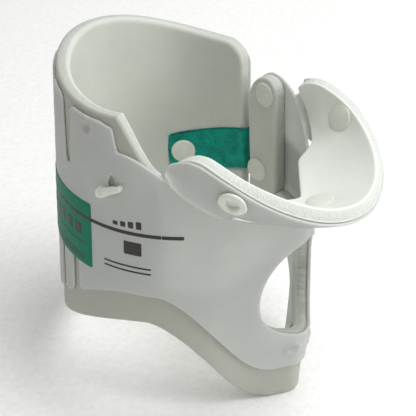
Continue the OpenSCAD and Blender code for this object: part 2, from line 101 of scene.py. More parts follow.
def addLight(name, place, size, power):
    data = bpy.data.lights.new(name, "AREA")
    data.shape = "DISK"
    data.size = size
    data.energy = power
    lamp = bpy.data.objects.new(name, data)
    back = np.array(place) / np.linalg.norm(place)
    right = np.cross([0, 0, 1], back)
    right = right / np.linalg.norm(right)
    m = np.eye(4)
    m[:3, 0], m[:3, 1], m[:3, 2], m[:3, 3] = right, np.cross(back, right), back, place
    lamp.matrix_world = Matrix(m.tolist())
    bpy.context.scene.collection.objects.link(lamp)


addCamera(cameraSetup)
addLight("keyLight", studio["keyPlace"], studio["keySize"], studio["keyPower"])
addLight("fillLight", studio["fillPlace"], studio["fillSize"], studio["fillPower"])
addLight("frontLight", studio["frontPlace"], studio["frontSize"], studio["frontPower"])
world = bpy.data.worlds.new("studio")
world.use_nodes = True
world.node_tree.nodes["Background"].inputs[0].default_value = (1.0, 1.0, 0.985, 1)
world.node_tree.nodes["Background"].inputs[1].default_value = studio["world"]
bpy.context.scene.world = world
bpy.context.scene.view_settings.view_transform = "Standard"
print("camera and lights")

# ---------- the collar's sizes, all in mm and degrees ----------

neck = {
    "radius": 43.0, "foam": 5.8, "sheet": 1.2, "pad": 5.0,
    "noseRadius": 9.0, "noseDepth": 50.5, "flare": 0.0008, "lean": 5.5,
    "rimTop": 52.5, "napeDrop": 63.0, "chestDrop": 84.0, "sideDrop": 39.3, "hem": 13.0,
    "notchTop": 24.0, "frontTop": -0.8, "flapTop": 27.7,
    "notchAt": 61.3, "flapEnd": 88.2, "panelEnd": 92.0, "flapFoamAt": 67.0,
}
shellR = neck["radius"] + neck["foam"] + neck["sheet"]
foamInset = neck["sheet"] + neck["foam"]
flatAt = math.degrees(math.acos((shellR - neck["noseRadius"]) / neck["noseDepth"]))


def smooth(t):
    t = np.clip(t, 0, 1)
    return t * t * (3 - 2 * t)


def sinD(b):
    return np.sin(np.radians(b))


def cosD(b):
    return np.cos(np.radians(b))


def wallRadius(b, inset):
    # plan of the wall: the neck's circle behind, straight flanks, and a small circle at the beak
    n, d, a = neck["noseRadius"] - inset, neck["noseDepth"], np.abs(b)
    beakAt = np.degrees(np.arctan2(n * sinD(flatAt), d + n * cosD(flatAt)))
    beak = d * cosD(a) + np.sqrt(np.maximum(n ** 2 - (d * sinD(a)) ** 2, 0))
    flank = (shellR - inset) / cosD(np.clip(flatAt - a, 0, 80))
    return np.where(a >= flatAt, shellR - inset, np.where(a >= beakAt, flank, beak))


def leanBack(b, z):
    # mm that the breast end of the beak leans back towards the neck
    return neck["lean"] * smooth((-34 - z) / 56) * smooth((48 - np.abs(b)) / 34)


def wallPoint(b, z, inset):
    # bearing b, height z, depth inset -> x, y, z; the wall widens a little downwards
    r = wallRadius(b, inset) * (1 - neck["flare"] * z)
    return np.stack([r * sinD(b), -r * cosD(b) + leanBack(b, z), z + 0 * r], -1)


def turned(b):
    # bearings past the back count down again, so both sides share the same edge heights
    return 180 - np.abs(180 - np.abs(b))


def foamLow(b):
    a = turned(b)
    front = -neck["sideDrop"] - (neck["chestDrop"] - neck["sideDrop"]) * smooth((70 - a) / 62)
    rear = -neck["sideDrop"] - (neck["napeDrop"] - neck["sideDrop"]) * smooth((a - 66) / 92)
    return np.where(a < 68, front, rear)


def sheetLow(b):
    a = turned(b)
    hem = neck["hem"]
    fall = neck["chestDrop"] - neck["sideDrop"] - hem / 5
    front = -neck["sideDrop"] + hem - fall * smooth((65 - a) / 55)
    return np.where(a < 68, front, -neck["sideDrop"] + hem - 21 * smooth((a - 75) / 65))


def frontTop(b):
    return neck["frontTop"] + (neck["notchTop"] - neck["frontTop"]) * (b / neck["notchAt"]) ** 2


def flapTop(b):
    rise = neck["notchTop"] + (neck["flapTop"] - neck["notchTop"]) * sinD(
        90 * (b - neck["notchAt"]) / (76 - neck["notchAt"]))
    return np.where(b < 76, rise, neck["flapTop"] - 7 * ((b - 76) / (neck["flapEnd"] - 76)) ** 2)


def rimTop(b):
    x = shellR * sinD(b)
    return neck["rimTop"] - 0.0045 * (x + 6) ** 2


def sideSheetTop(b):
    a = turned(b)
    low = neck["notchTop"] + 7 * sinD(90 * (a - neck["notchAt"]) / (80 - neck["notchAt"]))
    high = 31 + 9 * smooth((a - 80) / 3) + 4.7 * smooth((a - 82) / 20)
    return np.where(a < 80, low, np.where(a < 108, high, 200.0))


def sideFoamTop(b):
    a = turned(b)
    low = neck["notchTop"] - 1.6
    rise = low + (neck["rimTop"] - low - 5) * smooth((a - 60.5) / 26.5)
    return np.where(a < 88, rise, 200.0)


def levelWith(s, t, edge, e):
    # height left up to an edge, shortened where the edge is steep so that it is about a distance
    slope = (edge(bearingAt(s + e)) - edge(bearingAt(s - e))) / (2 * e)
    return (edge(bearingAt(s)) - t) / np.sqrt(1 + np.clip(slope, -6, 6) ** 2)


def roundMin(a, b, r):
    # the part inside both outlines, with its corner rounded to radius r
    corner = np.sqrt(np.maximum(r - a, 0) ** 2 + np.maximum(r - b, 0) ** 2)
    return np.maximum(r, np.minimum(a, b)) - corner


# ---------- turning outlines into thick pieces ----------

arcBearings = np.linspace(-275, 95, 7401)
arcXY = wallPoint(arcBearings, 0 * arcBearings, 0)[:, :2]
arcLength = np.concatenate([[0], np.cumsum(np.linalg.norm(np.diff(arcXY, axis=0), axis=1))])
arcLength = arcLength - np.interp(0, arcBearings, arcLength)


def alongWall(b):
    return np.interp(b, arcBearings, arcLength)


def bearingAt(s):
    return np.interp(s, arcLength, arcBearings)


def spread(span, cell, edge=(0, 0.35, 0.8, 1.35, 2.1)):
    # steps from 0 to span, closer together near both ends where the edges are rounded
    edge = np.array([e for e in edge if e < span / 3])
    middle = np.linspace(edge[-1], span - edge[-1], max(2, int(round((span - 2 * edge[-1]) / cell)) + 1))
    return np.concatenate([edge[:-1], middle, (span - edge[:-1])[::-1]])


def boxGrid(sRange, tRange, cell):
    s = sRange[0] + spread(sRange[1] - sRange[0], cell)
    t = tRange[0] + spread(tRange[1] - tRange[0], cell)
    return np.meshgrid(s, t, indexing="ij")


def edgeGrid(b0, b1, low, high, cell):
    # columns along the wall, rows that follow its lower and upper edge
    s = alongWall(b0) + spread(float(alongWall(b1) - alongWall(b0)), cell)
    b = bearingAt(s)
    bottom, top = low(b)[:, None], high(b)[:, None]
    unit = spread(float((top - bottom).max()), cell)
    near = unit[unit < 2.2]
    middle = unit[(unit >= 2.2) & (unit <= unit[-1] - 2.2)]
    share = (middle - middle[0]) / (middle[-1] - middle[0])
    inner = bottom + middle[0] + (top - bottom - 2 * middle[0]) * share
    t = np.concatenate([bottom + near, inner, top - near[::-1]], axis=1)
    return np.repeat(s[:, None], t.shape[1], 1), t


def cutGrid(grid, cell, inside):
    # a grid over s and t, cut to where inside(s, t) is above 0; inside is about a distance in mm
    # border points slide along the slope of inside until they stand on the outline
    rows = grid[0].shape[1]
    s, t = grid[0].ravel().copy(), grid[1].ravel().copy()
    f = inside(s, t)
    corner = np.arange(len(s)).reshape(-1, rows)
    quads = np.stack([corner[:-1, :-1], corner[1:, :-1], corner[1:, 1:], corner[:-1, 1:]], -1)
    quads = quads.reshape(-1, 4)
    deep = f > 0.22 * cell
    quads = quads[deep[quads].any(axis=1)]
    used = np.unique(quads)
    edge = used[~deep[used]]
    e = 0.02
    for _ in range(8):
        a, b = s[edge], t[edge]
        v = inside(a, b)
        gs = (inside(a + e, b) - inside(a - e, b)) / (2 * e)
        gt = (inside(a, b + e) - inside(a, b - e)) / (2 * e)
        size = np.maximum(gs ** 2 + gt ** 2, 0.2)
        move = np.clip(v / size, -0.6 * cell, 0.6 * cell)
        s[edge] -= move * gs
        t[edge] -= move * gt
    onEdge = np.zeros(len(s), bool)
    onEdge[edge] = True
    newIndex = np.full(len(s), -1)
    newIndex[used] = np.arange(len(used))
    depth = np.where(onEdge, 0, np.maximum(f, 0))
    return s[used], t[used], depth[used], newIndex[quads]


def thickPiece(name, grid, place, thick, roundOut, roundIn, materials, rimMaterial=0):
    # the outer and the inner face of a cut grid, joined round its border;
    # near the border each face curves in by r - sqrt(r^2 - (r - f)^2), like a filed edge
    s, t, f, quads = grid
    n = len(s)

    def curveIn(r):
        r = max(r, 1e-6)
        return r - np.sqrt(np.maximum(r ** 2 - np.maximum(r - f, 0) ** 2, 0))

    outer = place(s, t, curveIn(roundOut))
    inner = place(s, t, thick - curveIn(roundIn))
    edges = np.concatenate([quads[:, [i, (i + 1) % 4]] for i in range(4)])
    key = np.sort(edges, axis=1) @ np.array([n, 1])
    _, first, count = np.unique(key, return_index=True, return_counts=True)
    border = edges[first[count == 1]]
    rim = np.stack([border[:, 1], border[:, 0], border[:, 0] + n, border[:, 1] + n], -1)
    points = np.concatenate([outer, inner]) * mm
    faces = np.concatenate([quads, quads[:, ::-1] + n, rim])
    slotOf = np.concatenate([np.zeros(2 * len(quads), int), np.full(len(rim), rimMaterial)])
    outside = np.concatenate([np.ones(n), np.zeros(n)])
    return addMesh(name, points, faces, materials, slotOf, {"edgeDepth": np.tile(f, 2), "outside": outside})


def addMesh(name, points, faces, materials, slotOf=None, values=None, sharpAt=40):
    mesh = bpy.data.meshes.new(name)
    mesh.vertices.add(len(points))
    mesh.vertices.foreach_set("co", np.asarray(points, np.float32).ravel())
    size = faces.shape[1]
    mesh.loops.add(faces.size)
    mesh.loops.foreach_set("vertex_index", faces.astype(np.int32).ravel())
    mesh.polygons.add(len(faces))
    mesh.polygons.foreach_set("loop_start", np.arange(0, faces.size, size, dtype=np.int32))
    mesh.update(calc_edges=True)
    mesh.validate(clean_customdata=False)
    for m in materials:
        mesh.materials.append(m)
    if slotOf is not None:
        mesh.polygons.foreach_set("material_index", np.asarray(slotOf, np.int32))
    for key, value in (values or {}).items():
        mesh.attributes.new(key, "FLOAT", "POINT").data.foreach_set("value", np.asarray(value, np.float32))
    mesh.shade_smooth()
    mesh.set_sharp_from_angle(angle=math.radians(sharpAt))
    piece = bpy.data.objects.new(name, mesh)
    bpy.context.scene.collection.objects.link(piece)
    return piece


def give(piece, body, slot, *nodes):
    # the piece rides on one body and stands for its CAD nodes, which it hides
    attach(piece, body)
    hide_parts(*nodes)


def onWall(inset):
    # places a cut grid in the wall: s runs round the collar, t is the height
    return lambda s, t, depth: wallPoint(bearingAt(s), t, inset + depth)


def near(s, t, b, z, reach):
    # a soft round spot about a bearing and a height, 1 at its middle
    return np.exp(-((s - alongWall(b)) ** 2 + (t - z) ** 2) / reach ** 2)


# ---------- materials ----------

finishes = {
    "sheet": {"colour": (0.735, 0.75, 0.725, 1), "rough": 0.36, "glow": 0.42},
    # the liner's foam colours, skin and cut face, are darker copies of the pad's: painted shade inside the
    # collar; its outer colour is further painted shade on the face against the sheet
    "foam": {"colour": (0.60, 0.615, 0.56, 1), "rough": 0.78, "outer": (0.72, 0.72, 0.69, 1)},
    "shadedFoamCut": {"colour": (0.53, 0.555, 0.52, 1), "rough": 0.9},
    "padCut": {"colour": (0.66, 0.69, 0.65, 1), "rough": 0.9},
    "pad": {"colour": (0.78, 0.815, 0.765, 1), "rough": 0.7},
    "strap": {"colour": (0.006, 0.33, 0.25, 1), "dark": (0.002, 0.17, 0.13, 1), "rough": 0.95},
    "hooks": {"colour": (0.004, 0.20, 0.16, 1), "rough": 0.6},
    "rivet": {"colour": (0.72, 0.745, 0.67, 1), "rough": 0.34},
    "label": {"colour": (0.003, 0.185, 0.105, 1), "rough": 0.5, "gloss": 0.15},
    "ink": {"colour": (0.012, 0.014, 0.013, 1), "rough": 0.45},
    "floor": {"colour": studio["floorColour"], "rough": 0.9},
}


def newMaterial(name):
    material = bpy.data.materials.new(name)
    material.use_nodes = True
    tree = material.node_tree
    return material, tree, tree.nodes["Principled BSDF"]


def addNode(tree, kind, **settings):
    node = tree.nodes.new(kind)
    for key, value in settings.items():
        setattr(node, key, value)
    return node


def noise(tree, scale, detail, rough=0.55):
    # noise on object coordinates; scale is in features per metre
    place = addNode(tree, "ShaderNodeTexCoord")
    node = addNode(tree, "ShaderNodeTexNoise")
    node.inputs["Scale"].default_value = scale
    node.inputs["Detail"].default_value = detail
    node.inputs["Roughness"].default_value = rough
    tree.links.new(place.outputs["Object"], node.inputs["Vector"])
    return node


def shades(tree, source, stops):
    ramp = addNode(tree, "ShaderNodeValToRGB")
    ramp.color_ramp.elements[0].position, ramp.color_ramp.elements[0].color = stops[0]
    ramp.color_ramp.elements[1].position, ramp.color_ramp.elements[1].color = stops[-1]
    for position, colour in stops[1:-1]:
        ramp.color_ramp.elements.new(position).color = colour
    tree.links.new(source, ramp.inputs[0])
    return ramp


def addBump(tree, source, strength, distance, shader, previous=None):
    bump = addNode(tree, "ShaderNodeBump")
    bump.inputs["Strength"].default_value = strength
    bump.inputs["Distance"].default_value = distance
    tree.links.new(source, bump.inputs["Height"])
    if previous is not None:
        tree.links.new(previous.outputs[0], bump.inputs["Normal"])
    tree.links.new(bump.outputs[0], shader.inputs["Normal"])
    return bump


def grey(value):
    return (value, value, value, 1)


def tint(colour, factor):
    return tuple(min(1, c * factor) for c in colour[:3]) + (1,)


def sheetMaterial(finish):
    # translucent moulded sheet: faint clouding, fine satin grain, and painted highlights along its cut edges
    # and folds
    material, tree, shader = newMaterial("plasticSheet")
    c = finish["colour"]
    cloud = shades(tree, noise(tree, 55, 3).outputs["Fac"], [(0.35, tint(c, 0.965)), (0.7, tint(c, 1.03))])
    # painted highlight: near-white mixed in at 0.35 strength near the cut edges and at full strength along
    # the folds
    edge = addNode(tree, "ShaderNodeAttribute", attribute_name="edgeDepth")
    rim = shades(tree, edge.outputs["Fac"], [(0.0, grey(1)), (0.9, grey(0))])
    fold = addNode(tree, "ShaderNodeAttribute", attribute_name="fold")
    highlightMask = addNode(tree, "ShaderNodeMath", operation="MAXIMUM")
    half = addNode(tree, "ShaderNodeMath", operation="MULTIPLY")
    half.inputs[1].default_value = 0.35
    tree.links.new(rim.outputs["Color"], half.inputs[0])
    tree.links.new(half.outputs[0], highlightMask.inputs[0])
    tree.links.new(fold.outputs["Fac"], highlightMask.inputs[1])
    # the painted highlight colour is mixed over the clouded sheet colour
    highlightMix = addNode(tree, "ShaderNodeMix", data_type="RGBA")
    tree.links.new(highlightMask.outputs[0], highlightMix.inputs["Factor"])
    tree.links.new(cloud.outputs["Color"], highlightMix.inputs["A"])
    highlightMix.inputs["B"].default_value = (0.96, 0.98, 0.955, 1)
    tree.links.new(highlightMix.outputs["Result"], shader.inputs["Base Color"])
    shine = shades(tree, noise(tree, 260, 4).outputs["Fac"], [(0.3, grey(0.32)), (0.75, grey(0.46))])
    tree.links.new(shine.outputs["Color"], shader.inputs["Roughness"])
    grain = addBump(tree, noise(tree, 3800, 2).outputs["Fac"], 0.12, 0.0001, shader)
    addBump(tree, noise(tree, 90, 2).outputs["Fac"], 0.25, 0.0006, shader, grain)
    shader.inputs["Specular IOR Level"].default_value = 0.45
    shader.inputs["Subsurface Weight"].default_value = 0.0
    glow = addNode(tree, "ShaderNodeBsdfTranslucent")
    tree.links.new(highlightMix.outputs["Result"], glow.inputs["Color"])
    both = addNode(tree, "ShaderNodeMixShader")
    both.inputs[0].default_value = finish["glow"]
    out = tree.nodes["Material Output"]
    tree.links.new(shader.outputs[0], both.inputs[1])
    tree.links.new(glow.outputs[0], both.inputs[2])
    tree.links.new(both.outputs[0], out.inputs["Surface"])
    return material


def foamMaterial(name, finish, cellScale, cellStrength, speckle):
    # closed-cell foam: soft clouding, small cells as bump and, on cut faces, as bright specks
    material, tree, shader = newMaterial(name)
    c = finish["colour"]
    place = addNode(tree, "ShaderNodeTexCoord")
    cells = addNode(tree, "ShaderNodeTexVoronoi", feature="F1")
    cells.inputs["Scale"].default_value = cellScale
    tree.links.new(place.outputs["Object"], cells.inputs["Vector"])
    cloud = shades(tree, noise(tree, 38, 3).outputs["Fac"], [(0.3, tint(c, 0.955)), (0.72, tint(c, 1.03))])
    specks = shades(tree, cells.outputs["Distance"], [(0.05, grey(1 - speckle)), (0.55, grey(1))])
    mix = addNode(tree, "ShaderNodeMix", data_type="RGBA", blend_type="MULTIPLY")
    mix.inputs["Factor"].default_value = 1
    tree.links.new(cloud.outputs["Color"], mix.inputs["A"])
    tree.links.new(specks.outputs["Color"], mix.inputs["B"])
    # painted shade: the face against the sheet is darkened by the outer colour, a little greyer than the
    # face towards the skin
    outside = addNode(tree, "ShaderNodeAttribute", attribute_name="outside")
    outerShade = shades(tree, outside.outputs["Fac"], [(0.0, grey(1)), (1.0, finish.get("outer", grey(1)))])
    both = addNode(tree, "ShaderNodeMix", data_type="RGBA", blend_type="MULTIPLY")
    both.inputs["Factor"].default_value = 1
    tree.links.new(mix.outputs["Result"], both.inputs["A"])
    tree.links.new(outerShade.outputs["Color"], both.inputs["B"])
    tree.links.new(both.outputs["Result"], shader.inputs["Base Color"])
    shader.inputs["Roughness"].default_value = finish["rough"]
    shader.inputs["Specular IOR Level"].default_value = 0.28
    shader.inputs["Subsurface Weight"].default_value = 0.22
    shader.inputs["Subsurface Radius"].default_value = (0.0016, 0.0016, 0.0013)
    shader.inputs["Subsurface Scale"].default_value = 1.0
    fine = addBump(tree, cells.outputs["Distance"], cellStrength, 0.0004, shader)
    addBump(tree, noise(tree, 320, 3).outputs["Fac"], 0.10, 0.0012, shader, fine)
    return material


def strapMaterial(name, finish):
    # brushed loop fabric: matted tufts of lighter and darker fibre
    material, tree, shader = newMaterial(name)
    tufts = noise(tree, 1500, 5, 0.7)
    patches = noise(tree, 230, 3)
    add = addNode(tree, "ShaderNodeMix", data_type="FLOAT")
    add.inputs["Factor"].default_value = 0.42
    tree.links.new(tufts.outputs["Fac"], add.inputs["A"])
    tree.links.new(patches.outputs["Fac"], add.inputs["B"])
    c = finish["colour"]
    ramp = shades(tree, add.outputs["Result"], [(0.36, finish["dark"]), (0.52, c), (0.68, tint(c, 1.5))])
    tree.links.new(ramp.outputs["Color"], shader.inputs["Base Color"])
    shader.inputs["Roughness"].default_value = finish["rough"]
    shader.inputs["Specular IOR Level"].default_value = 0.15
    shader.inputs["Sheen Weight"].default_value = 0.35
    shader.inputs["Sheen Roughness"].default_value = 0.5
    shader.inputs["Sheen Tint"].default_value = (0.35, 0.85, 0.72, 1)
    addBump(tree, tufts.outputs["Fac"], 0.9, 0.0007, shader)
    return material


def mouldedMaterial(name, finish, grainScale=900, grain=0.08, waxy=0.25):
    # small moulded or printed parts: faint mottling, satin grain, a little light under the skin
    material, tree, shader = newMaterial(name)
    c = finish["colour"]
    spots = noise(tree, 420, 3)
    mottled = shades(tree, spots.outputs["Fac"], [(0.3, tint(c, 0.94)), (0.75, tint(c, 1.04))])
    tree.links.new(mottled.outputs["Color"], shader.inputs["Base Color"])
    r = finish["rough"]
    satin = noise(tree, 700, 3)
    shine = shades(tree, satin.outputs["Fac"], [(0.3, grey(r * 0.85)), (0.8, grey(r * 1.2))])
    tree.links.new(shine.outputs["Color"], shader.inputs["Roughness"])
    shader.inputs["Specular IOR Level"].default_value = finish.get("gloss", 0.5)
    shader.inputs["Subsurface Weight"].default_value = waxy
    shader.inputs["Subsurface Radius"].default_value = (0.0012, 0.0012, 0.0010)
    shader.inputs["Subsurface Scale"].default_value = 1.0
    addBump(tree, noise(tree, grainScale, 3).outputs["Fac"], grain, 0.0002, shader)
    return material


plasticSheet = sheetMaterial(finishes["sheet"])
# painted shade: the liner and flap foam use the darker foam colours, the chin pad the brighter ones
shadedFoamSkin = foamMaterial("shadedFoamSkin", finishes["foam"], 1900, 0.10, 0.03)
shadedFoamCut = foamMaterial("shadedFoamCut", finishes["shadedFoamCut"], 1500, 0.5, 0.16)
padCut = foamMaterial("padCut", finishes["padCut"], 1500, 0.6, 0.14)
padSkin = foamMaterial("padSkin", finishes["pad"], 1900, 0.12, 0.03)
strapLoop = strapMaterial("strapLoop", finishes["strap"])
hookTape = mouldedMaterial("hookTape", finishes["hooks"], 1400, 0.9, 0)
rivetNylon = mouldedMaterial("rivetNylon", finishes["rivet"])
labelFilm = mouldedMaterial("labelFilm", finishes["label"], 300, 0.05, 0)
printInk = mouldedMaterial("printInk", finishes["ink"], 900, 0.05, 0)
print("materials")

# ---------- plastic sheet ----------

openings = {
    "width": 17.6, "height": -35.0, "point": -8.3,          # windpipe opening: half width, widest line, tip
    "upperSlots": 180 + 22.7 * np.arange(-3, 4), "upperFloor": 20.0, "upperHalf": 2.0, "upperSpread": 0.067,
    "lowerSlots": 180 + 14.5 * np.arange(-5, 6), "lowerRoof": -14.0, "lowerHalf": 2.2,
    "windowAt": -82.6, "windowHeight": 19.4,
}
studs = {"front": [(-5.5, -59.3), (5.5, -59.3)], "rear": [(-96, 37.4)]}
flapRivets = [(76, 19.8), (82, -17.5)]


def windpipe(b, z):
    # positive inside the opening: a half circle below, two leaning arcs that meet in a point above
    x = np.abs(wallRadius(b, 0) * sinD(b))
    w, h = openings["width"], openings["height"]
    arc = (w ** 2 + (openings["point"] - h) ** 2) / (2 * w)
    below = w - np.hypot(x, z - h)
    above = arc - np.hypot(x + arc - w, z - h)
    return np.where(np.abs(b) < 60, np.where(z < h, below, above), -50.0)


def sheetTop(b):
    side = np.minimum(sideSheetTop(b), rimTop(b) - 2.5)
    return np.where(b < -neck["notchAt"], side, np.where(b > neck["notchAt"], flapTop(b), frontTop(b)))


def sheetOutline(s, t):
    b = bearingAt(s)
    f = roundMin(levelWith(s, t, sheetTop, 0.25), -levelWith(s, t, sheetLow, 0.25), 3)
    f = roundMin(f, s - alongWall(neck["panelEnd"] - 360), 8)
    f = roundMin(f, alongWall(neck["flapEnd"]) - s, 4)
    floor, half = openings["upperFloor"], openings["upperHalf"]
    for at in openings["upperSlots"]:
        d = np.abs(s - alongWall(at - 360))
        side = half + openings["upperSpread"] * (t - floor) - d
        f = roundMin(f, -np.where(t > floor, side, half - np.hypot(d, t - floor)), 2.2)
    roof, half = openings["lowerRoof"], openings["lowerHalf"]
    for at in openings["lowerSlots"]:
        d = np.abs(s - alongWall(at - 360))
        f = roundMin(f, -np.where(t < roof, half - d, half - np.hypot(d, t - roof)), 2.4)
    f = np.minimum(f, -windpipe(b, t))
    # small window above the hook: three straight sides with round corners between them
    x, z = s - alongWall(openings["windowAt"]), t - openings["windowHeight"]
    window = roundMin(z * 0.93 - x * 0.37 + 1.7, -0.66 * z - 0.75 * x + 1.2, 0.7)
    window = roundMin(window, 0.94 * x - 0.35 * z + 1.7, 0.8)
    return np.minimum(f, -window)


dimple = {"cup": 0.85, "cupReach": 1.5, "ring": 0.65, "ringAt": 2.6, "ringReach": 0.8}


def pressedOut(s, t, depth):
    # the sheet is dished where a stud is fused to its back: a shallow cup in a low ring
    lift = 0 * s
    for b, z in studs["front"] + studs["rear"]:
        away = np.hypot(s - alongWall(b), t - z)
        cup = dimple["cup"] * np.exp(-(away / dimple["cupReach"]) ** 2)
        ring = dimple["ring"] * np.exp(-((away - dimple["ringAt"]) / dimple["ringReach"]) ** 2)
        lift = lift + cup - ring
    return wallPoint(bearingAt(s), t, depth + lift)


sheetCell = 0.95
sheetRows = edgeGrid(neck["panelEnd"] - 360, neck["flapEnd"], sheetLow, sheetTop, sheetCell)
sheetGrid = cutGrid(sheetRows, sheetCell, sheetOutline)
sheetPiece = thickPiece("plastic_sheet", sheetGrid, pressedOut, neck["sheet"], 0.35, 0.35, [plasticSheet])
print("plastic sheet", len(sheetPiece.data.polygons))


def bendAtSide(piece):
    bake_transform(piece)


bendAtSide(sheetPiece)
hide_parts("front_shell", "rear_shell")

# ---------- foam liner ----------

liner = {
    "roundOut": 1.0, "roundIn": 1.9, "pocketTop": 10.4, "cell": 1.15,
    "underStrap": 2.1, "atStud": 1.5, "roundStud": 0.45, "atRivet": 0.5,    # mm that the skin face gives way
}
strap = {
    "width": 19.0, "thick": 1.5, "height": -10.0, "slope": 0.16, "gapAt": 90.0, "rootAt": 136.0,
    "inside": 43.6, "outside": 52.3, "seamAt": 74.0, "foldAt": 51.0, "tipAt": 37.0,
    "rivetAt": 128.0, "rivetHeight": -15.1,
}


def linerTop(b):
    side = np.minimum(sideFoamTop(b), rimTop(b))
    front = np.maximum(openings["point"] + 6 - 0.03 * b ** 2, -neck["sideDrop"] + 16)
    return np.where(b < -neck["notchAt"], side, front)


def linerOutline(s, t):
    b = bearingAt(s)
    f = roundMin(levelWith(s, t, linerTop, 0.3), -levelWith(s, t, foamLow, 0.3), 2)
    f = roundMin(f, s - alongWall(neck["panelEnd"] - 360), 9)
    f = roundMin(f, alongWall(linerEnd) - s, 1.5)
    return np.minimum(f, -windpipe(b, t) - 0.1)


def linerPlace(s, t, depth):
    # the inner face gives way under the strap, its rivet and the studs, and waves very slightly
    b = bearingAt(s)
    inward = np.clip(depth / neck["foam"], 0, 1)
    behind = 360 + b
    strapZ = strap["height"] - strap["slope"] * np.maximum(behind - strap["gapAt"], 0)
    acrossStrap = smooth((liner["pocketTop"] + 1.2 - np.abs(t - strapZ)) / 2.4)
    alongStrap = smooth((alongWall(strap["rootAt"] - 360 + 1.6) - s) / 2.4)
    press = liner["underStrap"] * acrossStrap * alongStrap
    for sb, sz in studs["front"] + studs["rear"]:
        press = press + liner["atStud"] * near(s, t, sb, sz, 3.6)
        press = press + liner["roundStud"] * near(s, t, sb, sz, 9)
    press = press + liner["atRivet"] * near(s, t, strap["rivetAt"] - 360, strap["rivetHeight"], 9)
    wave = 0.16 * np.sin(s / 17 + 0.8) * np.sin(t / 21) + 0.08 * np.sin(s / 6.3 - t / 9)
    return wallPoint(b, t, neck["sheet"] + 0.05 + depth - inward * (press + wave))


linerEnd = neck["flapFoamAt"] - 0.3
linerRows = edgeGrid(neck["panelEnd"] - 360, linerEnd, foamLow, linerTop, liner["cell"])
linerGrid = cutGrid(linerRows, liner["cell"], linerOutline)
linerPiece = thickPiece("foam_liner", linerGrid, linerPlace, neck["foam"] - 0.05,
                        liner["roundOut"], liner["roundIn"], [shadedFoamSkin, shadedFoamCut], 1)
bendAtSide(linerPiece)
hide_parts("front_liner", "rear_liner")
print("foam liner", len(linerPiece.data.polygons))


def flapFoamTop(b):
    return flapTop(b) - 0.4


def flapOutline(s, t):
    b = bearingAt(s)
    f = roundMin(flapFoamTop(b) - t, t - foamLow(b), 2)
    f = roundMin(f, s - alongWall(neck["flapFoamAt"]), 5)
    return roundMin(f, alongWall(neck["flapEnd"]) - s, 4)


def flapPlace(s, t, depth):
    # the flap's foam is squeezed under its two rivet heads
    press = 0 * s
    for b, z in flapRivets:
        press = press + 1.0 * near(s, t, b, z, 6.2) + 0.35 * near(s, t, b, z, 10)
    inward = np.clip(depth / neck["foam"], 0, 1)
    return wallPoint(bearingAt(s), t, neck["sheet"] + 0.05 + depth - inward * press)


flapCell = 0.8
flapRows = edgeGrid(neck["flapFoamAt"], neck["flapEnd"], foamLow, flapFoamTop, flapCell)
flapGrid = cutGrid(flapRows, flapCell, flapOutline)
flapPiece = thickPiece("flap_foam", flapGrid, flapPlace, neck["foam"] - 0.05, 0.8, 1.6,
                       [shadedFoamSkin, shadedFoamCut], 1)
give(flapPiece, "front", "foam", "flap_liner")
print("flap foam")

# ---------- chin support ----------

chin = {
    "halfWidth": 35.5, "lipAt": 80.2, "rimHigh": 34.4, "rimLow": 15.4, "armAt": 53.0,
    "turn": 0.8, "lipMiddle": -42.0, "armEnd": -28.0, "gap": 1.45, "inset": 6.0, "swing": (0.44, 0.70),
    "across": 60.0, "out": 30.0, "cell": 0.75,      # mm that the two parameters stand for; grid step
    "slitAt": 32.0,                                 # bearing where the slit under the lip ends
    "sink": 0.9, "sinkReach": 6.5,                  # how far the pad gives way round a rivet
    "front": (0.0, 0.3), "sides": [(-0.66, 0.76), (0.66, 0.76)],
}


def rimHeight(y):
    side = chin["rimHigh"] - 0.023 * (y + 39) ** 2
    fall = (chin["rimHigh"] - chin["rimLow"]) * (np.maximum(-39 - y, 0) / (chin["lipAt"] - 39)) ** 1.3
    return np.where(y > -39, side, chin["rimHigh"] - fall)


def rimPoint(u):
    # an ellipse quarter on each side of the lip, then a straight arm back to the hinge side
    a = np.abs(u)
    q = np.clip(a / chin["turn"], 0, 1)
    arm = np.clip(a - chin["turn"], 0, 1)
    onArm = chin["halfWidth"] + 4 * arm
    x = np.sign(u) * np.where(a < chin["turn"], chin["halfWidth"] * sinD(90 * q), onArm)
    y = np.where(a < chin["turn"], chin["lipMiddle"] - (chin["lipAt"] + chin["lipMiddle"]) * cosD(90 * q),
                 chin["lipMiddle"] + (chin["armEnd"] - chin["lipMiddle"]) * arm / (1 - chin["turn"]))
    return np.stack([x, y, rimHeight(y)], -1)


def rootPoint(u):
    b = chin["armAt"] * u
    start, end = chin["swing"]
    p = wallPoint(b, 0 * b, chin["inset"] * (1 - smooth((np.abs(u) - start) / (end - start))))
    lift = (neck["sheet"] + neck["pad"]) * (1 - 0.4 * smooth(np.abs(u) * 1.2))
    return np.stack([p[..., 0], p[..., 1], frontTop(b) + chin["gap"] + lift], -1)


def chinTop(u, v):
    # a bow from the inner edge (v = 0) to the rim (v = 1) at each place u across the support
    a, b = rootPoint(u), rimPoint(u)
    c = a + (b - a) * np.array([0.6, 0.6, 0.28])
    v = v[..., None]
    return (1 - v) ** 2 * a + 2 * v * (1 - v) * c + v ** 2 * b


def chinNormal(u, v):
    e = 0.01
    n = np.cross(chinTop(u, v + e) - chinTop(u, v - e), chinTop(u + e, v) - chinTop(u - e, v))
    return n / np.linalg.norm(n, axis=-1, keepdims=True)


def chinAt(u, v, depth):
    return chinTop(u, v) - np.asarray(depth)[..., None] * chinNormal(u * 0.985, v)


def chinOutline(s, t):
    f = roundMin(chin["out"] - t, chin["across"] - np.abs(s), 7)
    return roundMin(f, t - 0.2, 2.5)


